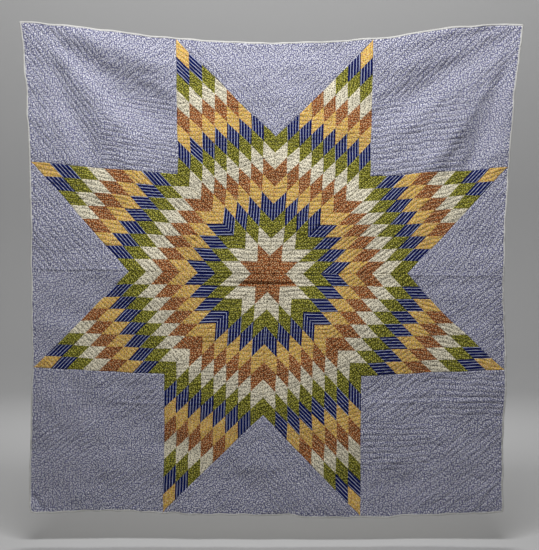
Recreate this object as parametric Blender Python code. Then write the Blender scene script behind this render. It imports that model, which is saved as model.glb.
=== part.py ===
"""Star quilt blanket, hanging by its top edge.

Metres, +Z up, +X to the viewer's right. The pieced front faces -Y and the origin is the middle of
the top edge. A place in the flat cloth is given as (across, up) from the star's centre, and hang()
says where in space that place hangs. The quilt is cut and sewn from eight star points, four corner
squares, four side triangles and four binding strips, and each of them is one closed body.
"""
import math
from collections import namedtuple

import bmesh
import bpy
from mathutils import Vector

# Sizes of the sewn quilt
DIAMOND_SIDE = 0.0735
DIAMONDS_PER_SIDE = 8
POINT_SIDE = DIAMOND_SIDE * DIAMONDS_PER_SIDE
TIP_REACH = POINT_SIDE * math.sqrt(0.5)
HALF_TOP = POINT_SIDE + TIP_REACH
BINDING_WIDTH = 0.010
CLOTH_THICKNESS = 0.004
BINDING_THICKNESS = 0.006
SEAM_GAP = 0.0003

# Quilting: ridges across one small diamond, and how far they stand over the stitched lines
RIDGES_PER_DIAMOND = 3
ROWS_PER_DIAMOND = 2 * RIDGES_PER_DIAMOND
RIDGE_HEIGHT = 0.0015

# The hanging tables have a column and a row at each of these distances from the star's centre:
# edge, middle of a corner square, star tips, centre, star tips, middle of a corner square, edge
SQUARE_MIDDLE = (TIP_REACH + HALF_TOP) / 2
TABLE_PLACES = (-HALF_TOP, -SQUARE_MIDDLE, -TIP_REACH, 0.0, TIP_REACH, SQUARE_MIDDLE, HALF_TOP)
MILLIMETRE = 0.001

# Pull of the hung cloth to the right, in millimetres
# Columns: left edge, square, left tips, centre, right tips, square, right edge
PULL_RIGHT = (
    (6, -10, -27, -31, -31, -30, -25),  # bottom edge
    (14, -4, -23, -25, -28, -28, -28),  # middle of the lower squares
    (20, 0, -21, -21, -25, -21, -15),   # lower side tips
    (16, 6, -3, 0, -3, -13, -24),       # centre
    (9, 21, 34, 27, 13, 6, -1),         # upper side tips
    (-7, 11, 31, 30, 18, 21, 22),       # middle of the upper squares
    (-27, 1, 29, 34, 23, 40, 57),       # top edge
)

# Pull of the hung cloth upwards, in millimetres, in the same rows and columns
PULL_UP = (
    (6, 17, 6, -1, -11, -3, 12),        # bottom edge
    (13, 8, 2, 0, -14, -4, 13),         # middle of the lower squares
    (23, 9, -4, -2, -12, 2, 15),        # lower side tips
    (15, 12, 8, 0, 1, 0, -2),           # centre
    (55, 29, 4, -1, -7, 13, 32),        # upper side tips
    (52, 27, -6, -21, -13, 15, 34),     # middle of the upper squares
    (48, 17, -22, -39, -23, 21, 38),    # top edge
)

# Folds and swells of the hung cloth. Each runs from one flat place to another, and opens from its
# first half width to its last. It rises towards the viewer, or falls back where the rise is negative:
# less where it is narrow, and by the whole rise at its last width.
Fold = namedtuple("Fold", "name start end first_width last_width rise")
FOLDS = (
    Fold("left corner, roll under the edge", (-0.942, 1.020), (-0.397, 0.857), 0.026, 0.150, 0.0330),
    Fold("left corner, deep valley", (-0.930, 0.974), (-0.428, 0.622), 0.027, 0.150, -0.0378),
    Fold("left corner, ridge", (-0.917, 0.933), (-0.565, 0.473), 0.023, 0.111, 0.0196),
    Fold("left corner, steep valley", (-0.917, 0.863), (-0.734, 0.385), 0.029, 0.115, -0.0247),
    Fold("right corner, roll under the edge", (0.931, 1.017), (0.373, 0.915), 0.025, 0.145, 0.0210),
    Fold("right corner, deep valley", (0.991, 0.967), (0.454, 0.673), 0.047, 0.150, -0.0335),
    Fold("right corner, ridge", (0.955, 0.965), (0.469, 0.506), 0.026, 0.108, 0.0034),
    Fold("right corner, steep valley", (0.988, 0.901), (0.810, 0.325), 0.036, 0.124, -0.0319),
    Fold("right corner, lower ridge", (0.827, 0.660), (0.632, 0.382), 0.024, 0.081, 0.0131),
    Fold("belly of the top edge", (0.00, 1.02), (0.00, 0.40), 0.500, 0.500, 0.018),
    Fold("left side swell", (-0.90, 0.40), (-0.80, -0.95), 0.260, 0.300, 0.014),
    Fold("lower left hollow", (-0.60, -0.25), (-0.55, -1.05), 0.200, 0.260, -0.016),
    Fold("lower middle swell", (0.05, -0.30), (0.10, -1.10), 0.300, 0.330, 0.016),
    Fold("lower right hollow", (0.62, -0.30), (0.66, -1.05), 0.200, 0.240, -0.014),
    Fold("right side swell", (0.93, 0.30), (0.95, -1.00), 0.220, 0.200, 0.012),
    Fold("storage crease", (-1.05, 0.00), (1.05, 0.00), 0.060, 0.060, 0.004),
)
# Shares of a fold's length over which it opens and closes, and where it has died away
FOLD_OPENS_OVER = 0.22
FOLD_CLOSES_OVER = 0.45
FOLD_ENDS_AT = 1.15
# No fold is made with a smaller half width than this, about what the solids' faces can follow
NARROWEST_HALF_WIDTH = 0.060

# Star points, anticlockwise. Sides lie at the first angle and 45 degrees on, and the quilting runs
# along the side that is named.
STAR_POINTS = (
    ("star_point_right_upper", 0, "second"),
    ("star_point_top_right", 45, "first"),
    ("star_point_top_left", 90, "second"),
    ("star_point_left_upper", 135, "first"),
    ("star_point_left_lower", 180, "first"),
    ("star_point_bottom_left", 225, "first"),
    ("star_point_bottom_right", 270, "second"),
    ("star_point_right_lower", 315, "second"),
)

# Corner squares: name, side of the quilt across, side of the quilt up
CORNER_SQUARES = (
    ("corner_square_top_right", 1, 1),
    ("corner_square_top_left", -1, 1),
    ("corner_square_bottom_left", -1, -1),
    ("corner_square_bottom_right", 1, -1),
)

# Side triangles: name, angle from the centre to the notch, turn of the side the quilting follows
SIDE_TRIANGLES = (
    ("side_triangle_right", 0, 45),
    ("side_triangle_top", 90, 45),
    ("side_triangle_left", 180, -45),
    ("side_triangle_bottom", 270, 45),
)

# Binding strips: name, direction out of the quilt, whether it covers the quilt's corners
BINDING_STRIPS = (
    ("binding_top", (0, 1), True),
    ("binding_bottom", (0, -1), True),
    ("binding_left", (-1, 0), False),
    ("binding_right", (1, 0), False),
)

# Finishes: colour, roughness
FINISHES = {
    "pieced diamonds": ((0.42, 0.25, 0.12), 0.9),
    "lavender squares": ((0.38, 0.38, 0.56), 0.9),
    "lavender triangles": ((0.36, 0.36, 0.55), 0.9),
    "white binding": ((0.76, 0.75, 0.70), 0.85),
}


def direction(degrees):
    """Unit vector in the flat cloth."""
    turn = math.radians(degrees)
    return Vector((math.cos(turn), math.sin(turn)))


def smooth_through(values, at):
    """Smooth curve through the values at the table's places, straight beyond its ends."""
    places = TABLE_PLACES
    last = len(places) - 1
    rises = [(values[k + 1] - values[k]) / (places[k + 1] - places[k]) for k in range(last)]
    slopes = [rises[0]] + [(rises[k - 1] + rises[k]) / 2 for k in range(1, last)] + [rises[-1]]
    if at <= places[0]:
        return values[0] + slopes[0] * (at - places[0])
    if at >= places[last]:
        return values[last] + slopes[last] * (at - places[last])
    k = next(k for k in range(last) if at <= places[k + 1])
    span = places[k + 1] - places[k]
    t = (at - places[k]) / span
    start = (1 + 2 * t) * (1 - t) ** 2 * values[k] + t * (1 - t) ** 2 * span * slopes[k]
    finish = t * t * (3 - 2 * t) * values[k + 1] + t * t * (t - 1) * span * slopes[k + 1]
    return start + finish


def pull(table, across, up):
    """Pull that a hanging table gives at a flat place, in metres."""
    rows = [smooth_through(row, across) for row in table]
    return smooth_through(rows, up) * MILLIMETRE


def ease(t):
    """Smooth step from 0 to 1."""
    t = min(max(t, 0.0), 1.0)
    return t * t * (3 - 2 * t)


def fold_rise(fold, place):
    """How far one fold lifts a flat place towards the viewer."""
    run = Vector(fold.end) - Vector(fold.start)
    along = (place - Vector(fold.start)).dot(run) / run.length_squared
    away = abs((place - Vector(fold.start)).cross(run)) / run.length
    share = min(max(along, 0.0), 1.0)
    half_width = fold.first_width + (fold.last_width - fold.first_width) * share
    made_width = max(half_width, NARROWEST_HALF_WIDTH)
    if away >= made_width:
        return 0.0
    across_shape = (1 + math.cos(math.pi * away / made_width)) / 2
    along_shape = ease(along / FOLD_OPENS_OVER) * ease((FOLD_ENDS_AT - along) / FOLD_CLOSES_OVER)
    return fold.rise * half_width / fold.last_width * across_shape * along_shape


def hang(place):
    """Point of space, in the middle of the cloth's thickness, where a flat place hangs."""
    across, up = place
    x = across + pull(PULL_RIGHT, across, up)
    z = up + pull(PULL_UP, across, up) - TOP_EDGE_HEIGHT
    return Vector((x, -sum(fold_rise(fold, place) for fold in FOLDS) + DEPTH_OF_TOP_EDGE, z))


def build_body(name, vertices, faces, finish):
    """Closed body from its vertices and faces, as a named object with its finish."""
    mesh = bpy.data.meshes.new(name)
    shape = bmesh.new()
    corners = [shape.verts.new(vertex) for vertex in vertices]
    for face in faces:
        shape.faces.new([corners[k] for k in face])
    bmesh.ops.triangulate(shape, faces=shape.faces[:])
    bmesh.ops.recalc_face_normals(shape, faces=shape.faces[:])
    shape.to_mesh(mesh)
    shape.free()
    mesh.materials.append(finish)
    body = bpy.data.objects.new(name, mesh)
    bpy.context.scene.collection.objects.link(body)


def panel_cell_point(knots, row, column, half):
    """Hung point at a place counted in small diamonds along a panel's two sides."""
    last = DIAMONDS_PER_SIDE - 1
    i = min(int(row), last)
    j = min(int(column), last - i if half else last)
    s, t = row - i, column - j
    if half and i + j == last:
        return knots[i, j] * (1 - s - t) + knots[i + 1, j] * s + knots[i, j + 1] * t
    near = knots[i, j] * (1 - t) + knots[i, j + 1] * t
    far = knots[i + 1, j] * (1 - t) + knots[i + 1, j + 1] * t
    return near * (1 - s) + far * s


def panel_rows(rows_per_diamond, half, side_gap, long_gap):
    """Rows of places over a panel, counted in small diamonds and kept clear of its seams."""
    count = DIAMONDS_PER_SIDE
    rows = []
    for k in range(count * rows_per_diamond + 1):
        row = min(max(k / rows_per_diamond, side_gap), count - side_gap)
        if not half:
            rows.append([(row, min(max(j, side_gap), count - side_gap)) for j in range(count + 1)])
            continue
        whole = k // rows_per_diamond
        if whole == count:
            rows.append([(count - side_gap - long_gap, side_gap)])
            continue
        places = [(row, max(j, side_gap)) for j in range(count - whole)]
        rows.append(places + [(row, count - row - long_gap)])
    return rows


def strip_faces(near, far):
    """Faces between two neighbouring rows of vertex numbers, the last one a triangle on a slope."""
    shared = min(len(near), len(far))
    faces = [(near[j], near[j + 1], far[j + 1], far[j]) for j in range(shared - 1)]
    if len(near) > shared:
        faces.append((near[shared - 1], near[shared], far[shared - 1]))
    return faces


def back_faces(vertices, near, far):
    """Faces of the back between two rows, each split so that the cloth is never thinner there."""
    faces = []
    for face in strip_faces(near, far):
        if len(face) == 3:
            faces.append(face)
            continue
        a, b, c, d = face
        split_ac = vertices[a].y + vertices[c].y >= vertices[b].y + vertices[d].y
        faces += [(a, b, c), (a, c, d)] if split_ac else [(a, b, d), (b, c, d)]
    return faces


def ridged_wall(front_edge, back_start, back_end):
    """Triangles of a wall from a run of front vertices to the two back vertices behind its ends."""
    middle = len(front_edge) // 2
    faces = [(front_edge[middle], back_end, back_start)]
    for k in range(len(front_edge) - 1):
        faces.append((front_edge[k], front_edge[k + 1], back_start if k < middle else back_end))
    return faces


def cloth_panel(name, start, ridge_side, line_side, finish, half=False):
    """One cut panel: a leaning square, or half of one, with ridges that run along line_side."""
    count = DIAMONDS_PER_SIDE
    lean = abs(ridge_side.normalized().cross(line_side.normalized()))
    side_gap = SEAM_GAP / 2 / (DIAMOND_SIDE * lean)
    long_gap = SEAM_GAP / 2 * math.sqrt(2) / DIAMOND_SIDE
    knots = {}
    for i in range(count + 1):
        for j in range(count + 1 - (i if half else 0)):
            knots[i, j] = hang(start + ridge_side * (i / count) + line_side * (j / count))

    vertices, front, back = [], [], []
    sides = ((front, ROWS_PER_DIAMOND, -1), (back, 1, 1))
    for numbers, rows_per_diamond, facing in sides:
        for k, places in enumerate(panel_rows(rows_per_diamond, half, side_gap, long_gap)):
            raised = RIDGE_HEIGHT if facing < 0 and k % 2 else 0.0
            offset = Vector((0, facing * CLOTH_THICKNESS / 2 - raised, 0))
            numbers.append(list(range(len(vertices), len(vertices) + len(places))))
            vertices += [panel_cell_point(knots, *place, half) + offset for place in places]

    faces = []
    for k in range(len(front) - 1):
        faces += strip_faces(front[k], front[k + 1])
    for k in range(len(back) - 1):
        faces += back_faces(vertices, back[k], back[k + 1])
        beside = front[k * ROWS_PER_DIAMOND:(k + 1) * ROWS_PER_DIAMOND + 1]
        for end in (0, -1):
            faces += ridged_wall([row[end] for row in beside], back[k][end], back[k + 1][end])
    for k in (0, -1):
        for j in range(len(back[k]) - 1):
            faces.append((front[k][j], front[k][j + 1], back[k][j + 1], back[k][j]))
    build_body(name, vertices, faces, finish)


def star_point(name, angle, quilted_side, finish):
    """One of the eight points: a leaning square of 64 small diamonds, from the centre outwards."""
    first = direction(angle) * POINT_SIDE
    second = direction(angle + 45) * POINT_SIDE
    lines, ridges = (first, second) if quilted_side == "first" else (second, first)
    cloth_panel(name, Vector((0, 0)), ridges, lines, finish)


def corner_square(name, right, top, finish):
    """Square between two star points and two bound edges."""
    notch = Vector((right * TIP_REACH, top * TIP_REACH))
    cloth_panel(name, notch, Vector((0, top * POINT_SIDE)), Vector((right * POINT_SIDE, 0)), finish)


def side_triangle(name, angle, quilted_turn, finish):
    """Triangle between two star points, with its long side on a bound edge."""
    lines = direction(angle + quilted_turn) * POINT_SIDE
    ridges = direction(angle - quilted_turn) * POINT_SIDE
    cloth_panel(name, direction(angle) * POINT_SIDE, ridges, lines, finish, half=True)


def binding_strip(name, out, covers_corners, finish):
    """Folded strip over one edge, with rounded outer corners."""
    long_step = 2 * TIP_REACH / DIAMONDS_PER_SIDE
    near_corner = [-HALF_TOP + k * DIAMOND_SIDE for k in range(DIAMONDS_PER_SIDE)]
    between_tips = [-TIP_REACH + k * long_step for k in range(DIAMONDS_PER_SIDE)]
    far_corner = [TIP_REACH + k * DIAMOND_SIDE for k in range(DIAMONDS_PER_SIDE + 1)]
    stations = near_corner + between_tips + far_corner
    if covers_corners:
        stations = [-HALF_TOP - BINDING_WIDTH] + stations + [HALF_TOP + BINDING_WIDTH]
    else:
        stations[0] += SEAM_GAP / 2
        stations[-1] -= SEAM_GAP / 2

    # The strip's section: share of its width outwards, share of its half thickness to the back
    section = ((0, -1), (0.7, -1), (1, -0.4), (1, 0.4), (0.7, 1), (0, 1))
    out = Vector(out)
    along = Vector((abs(out.y), abs(out.x)))
    vertices, rings = [], []
    for station in stations:
        edge = hang(along * station + out * HALF_TOP)
        rim = hang(along * station + out * (HALF_TOP + BINDING_WIDTH))
        start = SEAM_GAP / 2 / BINDING_WIDTH
        rings.append(list(range(len(vertices), len(vertices) + len(section))))
        for outwards, backwards in section:
            middle = edge.lerp(rim, start + (1 - start) * outwards)
            vertices.append(middle + Vector((0, backwards * BINDING_THICKNESS / 2, 0)))

    faces = [rings[0], rings[-1]]
    for near, far in zip(rings, rings[1:]):
        for k in range(len(section)):
            following = (k + 1) % len(section)
            faces.append((near[k], near[following], far[following], far[k]))
    build_body(name, vertices, faces, finish)


def make_finish(name):
    """Plain cotton in the finish's colour."""
    colour, roughness = FINISHES[name]
    finish = bpy.data.materials.new(name)
    finish.diffuse_color = (*colour, 1.0)
    finish.use_nodes = True
    shader = finish.node_tree.nodes["Principled BSDF"]
    shader.inputs["Base Color"].default_value = (*colour, 1.0)
    shader.inputs["Roughness"].default_value = roughness
    shader.inputs["Metallic"].default_value = 0.0
    return finish


# The middle of the top edge is brought to the origin
TOP_EDGE_HEIGHT = HALF_TOP + BINDING_WIDTH
TOP_EDGE_HEIGHT += pull(PULL_UP, 0.0, HALF_TOP + BINDING_WIDTH)
DEPTH_OF_TOP_EDGE = sum(fold_rise(fold, Vector((0.0, HALF_TOP + BINDING_WIDTH))) for fold in FOLDS)


def main():
    for thing in list(bpy.data.objects):
        bpy.data.objects.remove(thing, do_unlink=True)
    diamonds = make_finish("pieced diamonds")
    squares = make_finish("lavender squares")
    triangles = make_finish("lavender triangles")
    binding = make_finish("white binding")
    for name, angle, quilted_side in STAR_POINTS:
        star_point(name, angle, quilted_side, diamonds)
    for name, right, top in CORNER_SQUARES:
        corner_square(name, right, top, squares)
    for name, angle, quilted_turn in SIDE_TRIANGLES:
        side_triangle(name, angle, quilted_turn, triangles)
    for name, out, covers_corners in BINDING_STRIPS:
        binding_strip(name, out, covers_corners, binding)


main()
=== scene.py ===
import math
from collections import namedtuple

import bpy
import numpy as np
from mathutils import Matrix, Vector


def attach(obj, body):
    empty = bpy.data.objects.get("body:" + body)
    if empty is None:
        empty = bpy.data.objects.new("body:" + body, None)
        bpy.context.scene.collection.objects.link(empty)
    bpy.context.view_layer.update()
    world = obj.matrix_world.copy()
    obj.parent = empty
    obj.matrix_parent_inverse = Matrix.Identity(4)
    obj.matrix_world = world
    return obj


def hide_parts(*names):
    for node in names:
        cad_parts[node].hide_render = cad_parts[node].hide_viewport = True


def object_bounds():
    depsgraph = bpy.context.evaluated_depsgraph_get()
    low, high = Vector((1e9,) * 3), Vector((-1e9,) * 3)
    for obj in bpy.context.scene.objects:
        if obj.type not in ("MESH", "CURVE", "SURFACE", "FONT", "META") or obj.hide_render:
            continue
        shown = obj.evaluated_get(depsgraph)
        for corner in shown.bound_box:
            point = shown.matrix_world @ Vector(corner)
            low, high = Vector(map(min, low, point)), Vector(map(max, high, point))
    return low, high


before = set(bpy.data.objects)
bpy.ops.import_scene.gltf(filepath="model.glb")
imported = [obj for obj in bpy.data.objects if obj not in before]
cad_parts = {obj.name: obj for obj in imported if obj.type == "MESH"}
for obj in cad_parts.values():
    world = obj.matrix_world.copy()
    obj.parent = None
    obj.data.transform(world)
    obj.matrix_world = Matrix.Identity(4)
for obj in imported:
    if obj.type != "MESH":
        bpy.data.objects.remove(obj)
solid_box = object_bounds()

# A star quilt hanging by its top edge. A place in the flat cloth is (across, up) in metres from the
# star's centre, and hang() says where that place hangs: +X to the viewer's right, +Z up, the pieced
# front towards -Y. The sizes and the hanging tables are those of the solids.
DIAMOND_SIDE = 0.0735
DIAMONDS_PER_SIDE = 8
POINT_SIDE = DIAMOND_SIDE * DIAMONDS_PER_SIDE
TIP_REACH = POINT_SIDE * math.sqrt(0.5)
HALF_TOP = POINT_SIDE + TIP_REACH
BINDING_WIDTH = 0.010
CLOTH_THICKNESS = 0.004
MILLIMETRE = 0.001

# Edge, middle of a corner square, star tips, centre, star tips, middle of a corner square, edge
SQUARE_MIDDLE = (TIP_REACH + HALF_TOP) / 2
TABLE_PLACES = np.array((-HALF_TOP, -SQUARE_MIDDLE, -TIP_REACH, 0.0, TIP_REACH, SQUARE_MIDDLE, HALF_TOP))

# Pull of the hung cloth, in millimetres
# Rows: bottom edge, lower squares, lower side tips, centre, upper side tips, upper squares, top edge
# Columns: left edge, square, left tips, centre, right tips, square, right edge
PULL_RIGHT = (
    (6, -10, -27, -31, -31, -30, -25),
    (14, -4, -23, -25, -28, -28, -28),
    (20, 0, -21, -21, -25, -21, -15),
    (16, 6, -3, 0, -3, -13, -24),
    (9, 21, 34, 27, 13, 6, -1),
    (-7, 11, 31, 30, 18, 21, 22),
    (-27, 1, 29, 34, 23, 40, 57),
)
PULL_UP = (
    (6, 17, 6, -1, -11, -3, 12),
    (13, 8, 2, 0, -14, -4, 13),
    (23, 9, -4, -2, -12, 2, 15),
    (15, 12, 8, 0, 1, 0, -2),
    (55, 29, 4, -1, -7, 13, 32),
    (52, 27, -6, -21, -13, 15, 34),
    (48, 17, -22, -39, -23, 21, 38),
)

# Folds, swells and creases. Each runs from one flat place to another, and opens from its first half
# width to its last. It rises towards the viewer, or falls back where the rise is negative: less where
# it is narrow, and by the whole rise at its last width.
Fold = namedtuple("Fold", "start end first_width last_width rise")
FOLDS = [Fold(*fold) for fold in (
    # Upper left corner
    ((-0.942, 1.02), (-0.397, 0.857), 0.026, 0.15, 0.033),  # roll under the edge
    ((-0.93, 0.974), (-0.428, 0.622), 0.027, 0.15, -0.0378),  # deep valley
    ((-0.917, 0.933), (-0.565, 0.473), 0.023, 0.111, 0.0196),  # ridge
    ((-0.917, 0.863), (-0.734, 0.385), 0.029, 0.115, -0.0247),  # steep valley
    # Upper right corner
    ((0.931, 1.017), (0.373, 0.915), 0.025, 0.145, 0.021),  # roll under the edge
    ((0.991, 0.967), (0.454, 0.673), 0.047, 0.15, -0.0335),  # deep valley
    ((0.955, 0.965), (0.469, 0.506), 0.026, 0.108, 0.0034),  # ridge
    ((0.988, 0.901), (0.81, 0.325), 0.036, 0.124, -0.0319),  # steep valley
    ((0.827, 0.66), (0.632, 0.382), 0.024, 0.081, 0.0131),  # lower ridge
    # Elsewhere
    ((0.0, 1.02), (0.0, 0.4), 0.5, 0.5, 0.018),  # belly of the top edge
    ((-0.9, 0.4), (-0.8, -0.95), 0.26, 0.3, 0.014),  # left side swell
    ((-0.6, -0.25), (-0.55, -1.05), 0.2, 0.26, -0.016),  # lower left hollow
    ((0.05, -0.3), (0.1, -1.1), 0.3, 0.33, 0.016),  # lower middle swell
    ((0.62, -0.3), (0.66, -1.05), 0.2, 0.24, -0.014),  # lower right hollow
    ((0.93, 0.3), (0.95, -1.0), 0.22, 0.2, 0.012),  # right side swell
    ((-1.05, 0.0), (1.05, 0.0), 0.06, 0.06, 0.004),  # storage crease
)]
FOLD_OPENS_OVER = 0.22
FOLD_CLOSES_OVER = 0.45
FOLD_ENDS_AT = 1.15

# Finer creases, which the solids leave out
CREASES = [Fold(*crease) for crease in (
    # Upper left corner
    ((-0.794, 0.904), (-0.38, 0.745), 0.018, 0.049, 0.0031),  # crease over the valley
    ((-0.902, 0.955), (-0.697, 0.687), 0.015, 0.039, 0.0049),  # pinch on the ridge
    ((-0.738, 0.662), (-0.635, 0.553), 0.021, 0.046, -0.0045),  # dent below the ridge
    ((-0.641, 0.685), (-0.463, 0.513), 0.015, 0.034, 0.0015),  # low ridge
    # Upper right corner
    ((0.945, 1.001), (0.468, 0.914), 0.02, 0.058, -0.0106),  # crease under the edge
    ((0.857, 0.82), (0.543, 0.539), 0.025, 0.054, -0.0056),  # crease below the ridge
    ((1.006, 0.78), (0.983, 0.376), 0.03, 0.059, 0.0055),  # outer ridge
    ((0.897, 0.702), (0.714, 0.358), 0.021, 0.05, -0.0062),  # lower crease
    ((0.885, 0.566), (0.833, 0.396), 0.02, 0.043, -0.0048),  # outer dent
    ((0.624, 0.518), (0.451, 0.471), 0.015, 0.032, -0.0028),  # crease above the tip
    # Elsewhere
    ((-0.16, -0.038), (0.13, -0.042), 0.008, 0.009, -0.004),  # pleat under the centre
    ((-0.16, -0.024), (0.13, -0.028), 0.014, 0.014, 0.004),  # lip over the pleat
    ((-1.02, 0.006), (-0.55, 0.01), 0.01, 0.01, 0.003),  # mid-height crease, left
    ((0.52, -0.004), (1.02, -0.006), 0.009, 0.009, 0.003),  # mid-height crease, right
    ((-1.08, -0.94), (-0.95, -1.07), 0.055, 0.055, 0.014),  # lower left corner, turned forward
    ((-1.005, -0.925), (-0.945, -1.0), 0.02, 0.02, -0.0055),  # lower left corner, valley
    ((1.08, -0.96), (0.96, -1.08), 0.065, 0.065, 0.007),  # lower right corner, turned forward
    ((0.915, -0.985), (1.0, -0.89), 0.022, 0.022, -0.0045),  # lower right corner, valley
    ((-0.93, -0.503), (-0.66, -0.505), 0.009, 0.009, 0.002),  # quarter crease, left
    ((-0.7, -0.545), (-0.42, -0.54), 0.012, 0.012, 0.003),  # light crease, lower left
    ((0.43, -0.515), (1.03, -0.53), 0.009, 0.009, -0.0028),  # quarter crease, right
    ((0.43, -0.53), (1.03, -0.546), 0.009, 0.009, 0.0026),  # lip under the quarter crease
    ((0.68, -0.7), (0.79, -0.735), 0.009, 0.009, -0.003),  # short crease, lower right
    ((0.86, -0.845), (0.96, -0.89), 0.009, 0.009, -0.003),  # short crease, right of it
    ((0.39, -0.49), (0.47, -0.42), 0.008, 0.008, 0.003),  # crease at the lower right notch
    ((-0.4, 0.44), (-0.16, 0.47), 0.01, 0.01, 0.003),  # crease above the top notch
)]

# Unevenness of the whole cloth. Here and below, a chance field is a wavelength, a size and a seed
SWELLS = ((0.42, 0.0050, 11), (0.17, 0.0026, 12), (0.060, 0.0011, 13), (0.026, 0.0004, 14))
# Cloth under the binding: how far it reaches, and the strip that is let out for it
UNDER_BINDING = 0.0035
RIM_STRIP = 0.012
# Edges waver: width of the wavering strip, chance field, and the share of it that the edges other
# than the bottom one have
WAVERING_STRIP = 0.04
EDGE_WAVER = (0.10, 0.0022, 23)
CALM_EDGE_SHARE = 0.4
# Corners that have worn round: flat place, pull towards the middle, reach
WORN_CORNERS = (((-1.014, -1.014), 0.011, 0.030), ((1.014, -1.014), 0.003, 0.020))
# Sewing that is never quite straight
DRIFT_ACROSS = (0.22, 0.0016, 21)
DRIFT_UP = (0.22, 0.0016, 22)
ROW_WANDER = (0.11, 0.0023, 31)
# Drag lines between the rows, and their stretch along the rows
DRAG_LINES = (0.017, 0.00055, 32)
DRAG_STRETCH = 3.0

# Quilting: height of the ridges, and their share of it on the back, depth of seams, fullness of a
# ridge (1 round, less is flatter on top), and where a ridge dies into a seam
RIDGE_HEIGHT = 0.0021
BACK_RIDGE_SHARE = 0.6
PATCH_SEAM_DEPTH = 0.0006
PANEL_SEAM_DEPTH = 0.0005
PUFF_FULLNESS = 0.6
RIDGE_FADES_OVER = 0.0035
AREA_FADES_OVER = 0.004
# Ridges are plumper in some places
RIDGE_PLUMPNESS = (0.07, 0.4, 41)
STAR_ROW_GAP = DIAMOND_SIDE * math.sqrt(0.5) / 3
WIDE_GAP = 0.0240
CLOSE_GAP = 0.0205

# Star points, anticlockwise: node, angle of the first side, and the side (1 or 2) that the stripes
# follow in each navy diamond of rows 4, 9 and 14
STAR_POINTS = (
    ("star_point_right_upper", 0, ("2222", "2222222", "22")),
    ("star_point_top_right", 45, ("2222", "2222222", "22")),
    ("star_point_top_left", 90, ("1111", "1111121", "22")),
    ("star_point_left_upper", 135, ("2222", "1222111", "11")),
    ("star_point_left_lower", 180, ("1111", "2222222", "22")),
    ("star_point_bottom_left", 225, ("2222", "2222222", "22")),
    ("star_point_bottom_right", 270, ("1111", "2222221", "22")),
    ("star_point_right_lower", 315, ("2222", "2222222", "22")),
)
NAVY_ROWS = (4, 9, 14)

# Corner squares: node, side of the quilt across, side of the quilt up
CORNER_SQUARES = (
    ("corner_square_top_right", 1, 1),
    ("corner_square_top_left", -1, 1),
    ("corner_square_bottom_left", -1, -1),
    ("corner_square_bottom_right", 1, -1),
)

# Side triangles: node, angle from the centre to the notch, then the angle of the rows and their
# share of the full ridge height on its first half and on its second half, anticlockwise
SIDE_TRIANGLES = (
    ("side_triangle_right", 0, (38, 0.5), (51, 0.85)),
    ("side_triangle_top", 90, (46, 0.5), (-48, 0.85)),
    ("side_triangle_left", 180, (-45, 0.85), (42, 0.45)),
    ("side_triangle_bottom", 270, (44, 0.45), (-49, 0.85)),
)

# Areas of quilting, worked one after another: limits across and up from the star's centre, angle of
# the rows, share of the full ridge height, gap between the rows
Area = namedtuple("Area", "left right bottom top angle rise gap")
STAR_AREAS = [Area(*area, STAR_ROW_GAP) for area in (
    (-0.28, 0.27, -0.30, 0.40, 0, 1.0),      # middle
    (-0.60, -0.28, -0.42, 0.05, -42, 1.0),   # left, below the middle
    (-0.60, -0.28, 0.05, 0.42, -40, 1.0),    # left, above the middle
    (-1.02, -0.60, 0.05, 0.42, -8, 0.8),     # upper left tip
    (-1.02, -0.60, -0.42, 0.05, -43, 1.0),   # lower left tip
    (0.27, 0.62, -0.42, 0.42, 34, 1.0),      # right
    (0.62, 1.02, 0.00, 0.42, 13, 0.8),       # upper right tip
    (0.62, 1.02, -0.42, 0.00, -14, 0.8),     # lower right tip
    (-0.42, 0.00, 0.40, 0.53, 18, 1.0),      # top, over the middle
    (0.00, 0.42, 0.40, 0.53, -12, 1.0),
    (-0.42, 0.00, 0.53, 0.74, 3, 0.9),
    (0.00, 0.42, 0.53, 0.70, -3, 0.9),
    (-0.42, 0.00, 0.74, 1.02, -32, 0.9),     # top tips
    (0.00, 0.42, 0.70, 1.02, 85, 0.9),
    (-0.45, -0.02, -0.55, -0.30, 0, 1.1),    # bottom
    (-0.02, 0.42, -0.66, -0.30, 22, 1.1),
    (-0.45, -0.02, -1.02, -0.55, 84, 0.9),   # bottom tips
    (-0.02, 0.42, -1.02, -0.66, -38, 1.0),
)]
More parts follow.
